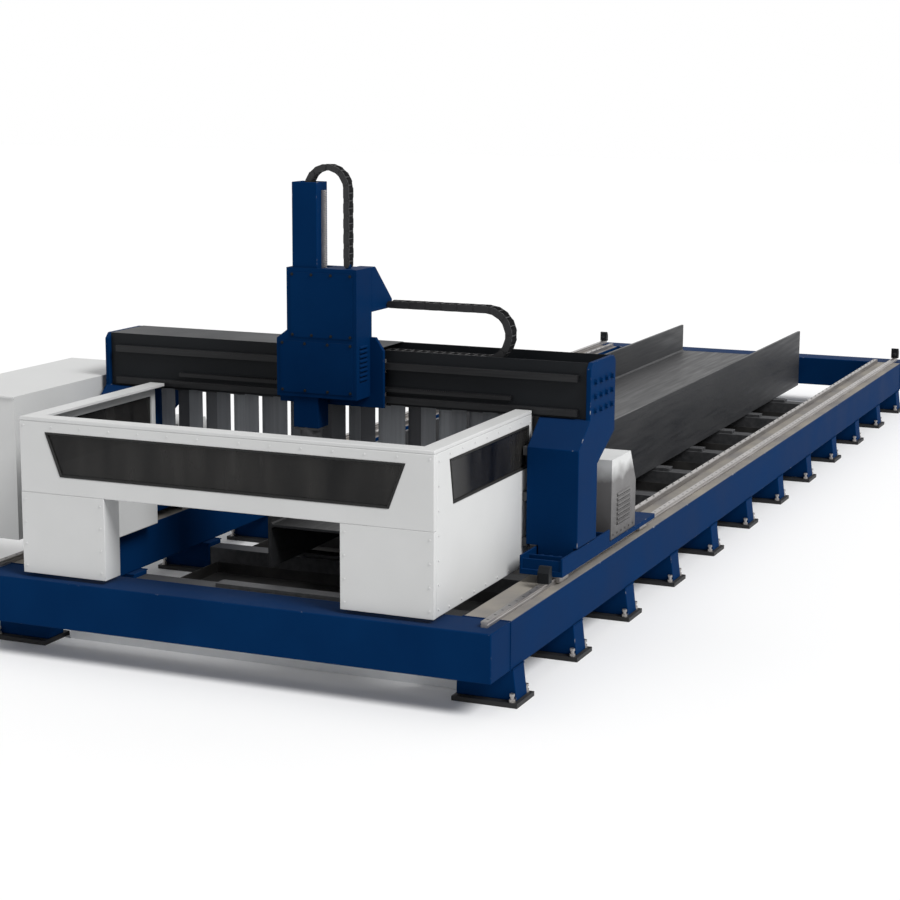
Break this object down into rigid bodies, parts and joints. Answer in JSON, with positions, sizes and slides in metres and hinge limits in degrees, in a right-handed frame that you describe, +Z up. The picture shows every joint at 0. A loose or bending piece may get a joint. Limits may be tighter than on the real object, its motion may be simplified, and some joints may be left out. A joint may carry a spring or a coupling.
{
  "type": "h-beam laser cutting machine",
  "caption": "Travelling-gantry laser cutter for structural beams: a long welded bed with rails, a portal with an open-topped cutting enclosure, and a ram with a tilting head over the workpiece.",
  "frame": {"origin": "on the floor, at the centre of the rectangle of the four outermost inner anchor holes", "axes": "+X across the bed to the right seen from the enclosure end, +Y along the bed away from the enclosure, +Z up"},
  "size_m": [4.628, 13, 3.2306],
  "materials": {
    "blue_paint": "deep blue gloss paint on welded plate",
    "pale_paint": "pale grey powder coat",
    "black_paint": "black paint",
    "dark_steel": "mill-scale grey steel",
    "bright_steel": "ground steel",
    "chain_plastic": "black moulded plastic",
    "smoked_window": "smoked laser-safe glazing",
    "strip_rubber": "grey flexible strip",
    "foot_black": "black plate"
  },
  "bodies": {
    "bed": {"rail_beams": "blue_paint", "end_beams": "blue_paint", "bed_legs": "blue_paint", "foot_plates": "foot_black", "levelling_screws": "bright_steel", "cross_ties": "dark_steel", "work_rests": "bright_steel", "scrap_trays": "dark_steel", "long_rails": "bright_steel", "long_racks": "bright_steel", "end_stops": "black_paint", "workpiece_beam": "dark_steel"},
    "gantry": {"trucks": "blue_paint", "truck_blocks": "bright_steel", "column_left": "blue_paint", "column_right": "blue_paint", "crossbeam": "black_paint", "beam_rails": "bright_steel", "beam_rack": "bright_steel", "cable_tray": "black_paint", "tray_lid": "black_paint", "long_drives": "black_paint", "drive_cover_left": "pale_paint", "drive_cover_right": "pale_paint", "enclosure_header": "pale_paint", "enclosure_leg_left": "pale_paint", "enclosure_leg_right": "pale_paint", "enclosure_side_left": "pale_paint", "enclosure_side_right": "pale_paint", "enclosure_rim": "pale_paint", "front_window": "smoked_window", "side_windows": "smoked_window", "enclosure_brackets": "dark_steel", "curtain_rail": "dark_steel", "curtain_strips": "strip_rubber", "cabinet_shell": "pale_paint", "cabinet_units": "dark_steel", "cabinet_mounts": "dark_steel"},
    "door_front": {"cabinet_door_front": "pale_paint"},
    "door_rear": {"cabinet_door_rear": "pale_paint"},
    "pinion_left": {"pinion_left": "bright_steel"},
    "pinion_right": {"pinion_right": "bright_steel"},
    "carriage": {"saddle": "blue_paint", "housing": "blue_paint", "saddle_blocks": "bright_steel", "cross_drive": "black_paint", "ram_drive": "black_paint", "chain_bracket": "blue_paint", "cross_chain_run": "chain_plastic", "ram_chain_run": "chain_plastic"},
    "cross_pinion": {"cross_pinion": "bright_steel"},
    "ram_pinion": {"ram_pinion": "bright_steel"},
    "cross_chain": {"cross_chain_loop": "chain_plastic"},
    "ram_chain": {"ram_chain_loop": "chain_plastic"},
    "ram": {"ram": "blue_paint", "ram_rails": "bright_steel", "ram_rack": "bright_steel", "swivel_housing": "dark_steel"},
    "swivel": {"swivel_arm": "blue_paint"},
    "head": {"cutting_head": "bright_steel"}
  },
  "joints": [
    {"name": "gantry_travel", "type": "slide", "parent": "bed", "child": "gantry", "axis": [0, 1, 0], "range_m": [0, 9.5]},
    {"name": "carriage_travel", "type": "slide", "parent": "gantry", "child": "carriage", "axis": [1, 0, 0], "range_m": [-0.95, 0.95], "deforming": ["cross_chain_run"]},
    {"name": "ram_travel", "type": "slide", "parent": "carriage", "child": "ram", "axis": [0, 0, 1], "range_m": [-0.66, 0], "deforming": ["ram_chain_run"]},
    {"name": "head_swivel", "type": "hinge", "parent": "ram", "child": "swivel", "pos_m": [-0.1, -4.95, 1.33], "axis": [0, 0, 1], "range_deg": [-180, 180]},
    {"name": "head_tilt", "type": "hinge", "parent": "swivel", "child": "head", "pos_m": [-0.1, -4.95, 1.17], "axis": [1, 0, 0], "range_deg": [-100, 100]},
    {"name": "front_door_hinge", "type": "hinge", "parent": "gantry", "child": "door_front", "pos_m": [-2.652, -5.85, 1.1], "axis": [0, 0, 1], "range_deg": [0, 110]},
    {"name": "rear_door_hinge", "type": "hinge", "parent": "gantry", "child": "door_rear", "pos_m": [-2.652, -4.05, 1.1], "axis": [0, 0, -1], "range_deg": [0, 110]},
    {"name": "pinion_right_spin", "type": "hinge", "parent": "gantry", "child": "pinion_right", "pos_m": [1.688, -3.9, 0.56], "axis": [0, 0, 1], "range_deg": [0, 9800]},
    {"name": "pinion_left_spin", "type": "hinge", "parent": "gantry", "child": "pinion_left", "pos_m": [-1.688, -3.9, 0.56], "axis": [0, 0, 1], "range_deg": [-9800, 0]},
    {"name": "cross_pinion_spin", "type": "hinge", "parent": "carriage", "child": "cross_pinion", "pos_m": [0.15, -4.75, 1.7295], "axis": [0, 1, 0], "range_deg": [-1600, 1600]},
    {"name": "ram_pinion_spin", "type": "hinge", "parent": "carriage", "child": "ram_pinion", "pos_m": [0.058, -4.95, 2.3], "axis": [0, 1, 0], "range_deg": [-1200, 0]},
    {"name": "cross_chain_roll", "type": "slide", "parent": "carriage", "child": "cross_chain", "axis": [1, 0, 0], "range_m": [-0.48, 0.48]},
    {"name": "ram_chain_roll", "type": "slide", "parent": "carriage", "child": "ram_chain", "axis": [0, 0, 1], "range_m": [-0.331, 0]}
  ],
  "couplings": [
    {"joint": "pinion_right_spin", "follows": "gantry_travel", "rad_per_m": 17.857},
    {"joint": "pinion_left_spin", "follows": "gantry_travel", "rad_per_m": -17.857},
    {"joint": "cross_pinion_spin", "follows": "carriage_travel", "rad_per_m": 28.571},
    {"joint": "ram_pinion_spin", "follows": "ram_travel", "rad_per_m": 28.571},
    {"joint": "cross_chain_roll", "follows": "carriage_travel", "ratio": -0.5},
    {"joint": "ram_chain_roll", "follows": "ram_travel", "ratio": 0.5}
  ]
}
